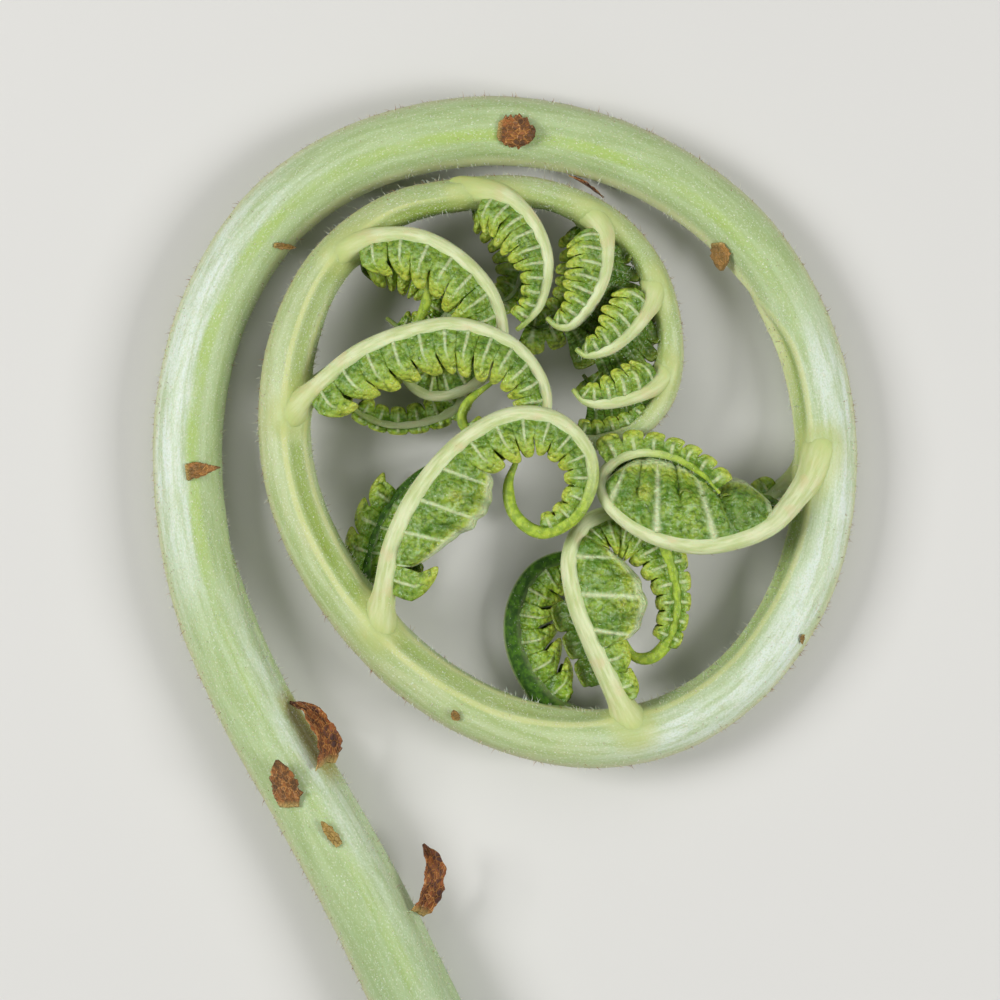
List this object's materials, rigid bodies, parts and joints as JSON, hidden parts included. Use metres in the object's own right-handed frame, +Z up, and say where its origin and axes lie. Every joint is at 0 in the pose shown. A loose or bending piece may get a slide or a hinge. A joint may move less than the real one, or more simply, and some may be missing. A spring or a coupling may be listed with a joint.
{
  "type": "coiled young fern frond",
  "caption": "Young fern frond still coiled in a spiral, with curled leaflets in two rows and brown scales on its round stalk, cut and lying on its side.",
  "frame": {"origin": "middle of the outline seen from above, on the surface the frond lies on", "axes": "+Z up from the surface, towards the side the picture shows; +Y from the cut end of the stalk towards the coil; +X to the picture's right"},
  "size_m": [0.0444, 0.0632, 0.0087],
  "materials": {
    "stalk": "pale green, finely hairy plant skin with a soft sheen",
    "blade": "fresh green leaf with paler veins",
    "scale": "dry red-brown scale, thin and matt"
  },
  "bodies": {
    "root": {"stalk": "stalk", "near_blade_1": "blade", "near_blade_2": "blade", "near_blade_3": "blade", "near_blade_4": "blade", "near_blade_5": "blade", "near_blade_6": "blade", "near_blade_7": "blade", "near_blade_8": "blade", "near_blade_9": "blade", "far_blade_1": "blade", "far_blade_2": "blade", "far_blade_3": "blade", "far_blade_4": "blade", "far_blade_5": "blade", "far_blade_6": "blade", "far_blade_7": "blade", "far_blade_8": "blade", "far_blade_9": "blade", "tip_blade": "blade", "scale_1": "scale", "scale_2": "scale", "scale_3": "scale", "scale_4": "scale", "scale_5": "scale", "scale_6": "scale", "scale_7": "scale", "scale_8": "scale", "scale_9": "scale"}
  },
  "joints": []
}
